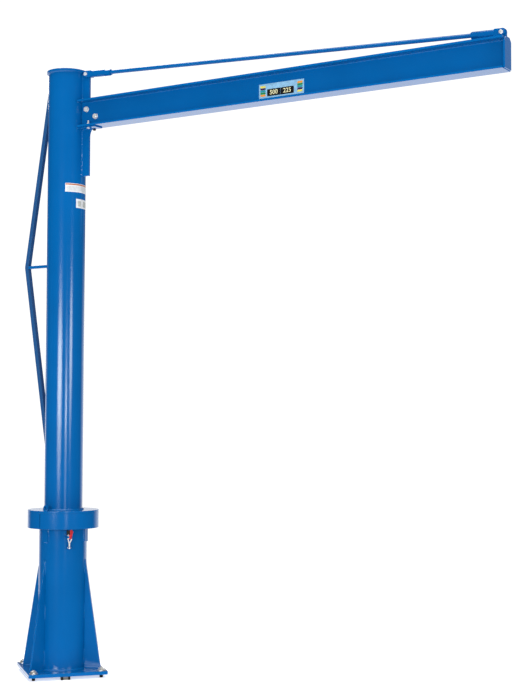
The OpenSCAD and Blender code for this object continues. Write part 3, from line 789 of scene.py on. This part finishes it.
def camera():
    """The camera, at the photograph's viewing angle."""
    level = math.cos(CAMERA_PITCH)
    forward = around(CAMERA_TURN, level, math.sin(CAMERA_PITCH))
    right = Vector((math.sin(CAMERA_TURN), -math.cos(CAMERA_TURN), 0))
    up = right.cross(forward)
    across = right * math.cos(CAMERA_ROLL) + up * math.sin(CAMERA_ROLL)
    upright = up * math.cos(CAMERA_ROLL) - right * math.sin(CAMERA_ROLL)
    data = bpy.data.cameras.new("camera")
    data.lens = CAMERA_LENS
    data.sensor_width = 36
    data.clip_end = 200
    made = bpy.data.objects.new("camera", data)
    turn = Matrix((across, upright, -forward)).transposed()
    made.matrix_world = Matrix.Translation(CAMERA_PLACE) @ turn.to_4x4()
    bpy.context.scene.collection.objects.link(made)
    bpy.context.scene.camera = made


def floor():
    """A round pale floor. It glows a little, to stay white, and doesn't show in reflections."""
    radius, steps = 0.9, 96
    data = bpy.data.meshes.new("floor")
    rim = [around(math.tau * i / steps, radius, -FLOOR_DROP) for i in range(steps)]
    data.from_pydata(rim, [], [tuple(range(steps))])
    made, tree, shader = node_material("pale_floor", (0.88, 0.885, 0.89), Roughness=0.6,
                                       Specular_IOR_Level=0.2,
                                       Emission_Color=(1, 1, 1, 1), Emission_Strength=0.5)
    mottle = ramp(tree, noise(tree, scale=0.6), (0.87, 0.875, 0.88), (0.89, 0.895, 0.90))
    tree.links.new(mottle, shader.inputs["Base Color"])
    data.materials.append(made)
    thing = bpy.data.objects.new("floor", data)
    bpy.context.scene.collection.objects.link(thing)
    thing.visible_glossy = False


def soft_box(name, place, target, width, height, radiance):
    """An elliptical light; radiance is the brightness of its face."""
    data = bpy.data.lights.new(name, "AREA")
    data.shape = "ELLIPSE"
    data.size = width
    data.size_y = height
    data.energy = radiance * math.pi * math.pi / 4 * width * height
    made = bpy.data.objects.new(name, data)
    made.matrix_world = facing(place, place - target, Z.cross(place - target))
    bpy.context.scene.collection.objects.link(made)


def front_lights():
    """Three soft boxes on the camera's side of the crane, each with a smaller bright core."""
    distance = 9.5
    towards = math.atan2(CAMERA_PLACE.y, CAMERA_PLACE.x)
    for name, turn, z, width, tall, radiance in (               # turn in degrees from the camera
        ("box_left", -29.6, 1.88, 4.9, 2.5, 7.2),
        ("box_mid", 9.5, 1.4, 2.3, 2.5, 2.6),
        ("box_right", 35.5, 2.25, 3.0, 2.1, 5.9),
        ("core_left", -29.6, 1.98, 3.8, 1.2, 12.0),
        ("core_mid", 9.5, 1.62, 1.7, 0.7, 16.0),
        ("core_right", 35.5, 2.33, 2.3, 1.2, 8.0),
    ):
        soft_box(name, around(towards + math.radians(turn), distance, z), AIM, width, tall, radiance)


def other_lights():
    """Soft light on the boom's end, from behind and from above."""
    soft_box("box_end", Vector((6.0, 8.1, 5.5)), Vector((2.9, 0, 3.2)), 3.4, 3.4, 0.4)
    soft_box("back", around(BEYOND + math.radians(8), 7.5, 6.5), AIM, 4.5, 4.5, 5.0)
    soft_box("top", Vector((0.5, -1.5, 9.0)), Vector((0.5, -0.5, 0)), 7.0, 7.0, 3.0)


def graded(tree, axis, low, high, start, end):
    """A world strength that blends from low to high as a ray's direction turns towards an axis."""
    place = tree.nodes.new("ShaderNodeTexCoord")
    dot = tree.nodes.new("ShaderNodeVectorMath")
    dot.operation = "DOT_PRODUCT"
    dot.inputs[1].default_value = axis
    tree.links.new(place.outputs["Generated"], dot.inputs[0])
    made = tree.nodes.new("ShaderNodeMapRange")
    made.interpolation_type = "SMOOTHSTEP"
    made.inputs["From Min"].default_value = start
    made.inputs["From Max"].default_value = end
    made.inputs["To Min"].default_value = low
    made.inputs["To Max"].default_value = high
    tree.links.new(dot.outputs["Value"], made.inputs["Value"])
    return made.outputs["Result"]


def combined(tree, operation, first, second):
    """One of two world strengths with the other, by a sum or a product."""
    made = tree.nodes.new("ShaderNodeMath")
    made.operation = operation
    tree.links.new(first, made.inputs[0])
    tree.links.new(second, made.inputs[1])
    return made.outputs["Value"]


def sky():
    """A white studio, of one strength to the eye, one for soft light and one for reflections.
    Soft light is stronger from below. Reflections are bright low down beyond the crane, and from below."""
    world = bpy.data.worlds.new("studio")
    world.use_nodes = True
    bpy.context.scene.world = world
    tree = world.node_tree
    back = tree.nodes["Background"]
    beyond = graded(tree, around(BEYOND), low=0.03, high=1.4, start=0.5, end=0.85)
    dimmed_high = graded(tree, Z, low=1.0, high=0.14, start=0.04, end=0.14)
    below = graded(tree, Z, low=1.5, high=0.0, start=-0.85, end=-0.35)
    mirrored = combined(tree, "ADD", combined(tree, "MULTIPLY", beyond, dimmed_high), below)
    soft = graded(tree, Z, low=1.4, high=0.56, start=-0.95, end=-0.1)
    path = tree.nodes.new("ShaderNodeLightPath")
    gloss = tree.nodes.new("ShaderNodeMix")
    tree.links.new(path.outputs["Is Glossy Ray"], gloss.inputs["Factor"])
    tree.links.new(soft, gloss.inputs["A"])
    tree.links.new(mirrored, gloss.inputs["B"])
    seen = tree.nodes.new("ShaderNodeMix")
    seen.inputs["B"].default_value = 1.1
    tree.links.new(path.outputs["Is Camera Ray"], seen.inputs["Factor"])
    tree.links.new(gloss.outputs["Result"], seen.inputs["A"])
    tree.links.new(seen.outputs["Result"], back.inputs["Strength"])
    back.inputs["Color"].default_value = (1, 1, 1, 1)


def stage():
    """The camera, floor, lights and world, and a plain view of their colours."""
    camera()
    floor()
    sky()
    front_lights()
    other_lights()
    scene = bpy.context.scene
    scene.view_settings.view_transform = "Standard"
    scene.view_settings.look = "None"


finish_nodes()
weld_base()
weld_brackets()
weld_ring()
weld_boom()
weld_truss()
anchors()
shim()
web_bolts()
seat_bolts()
pin_ends()
roller_ends()
mast_labels()
capacity_label()
stage()
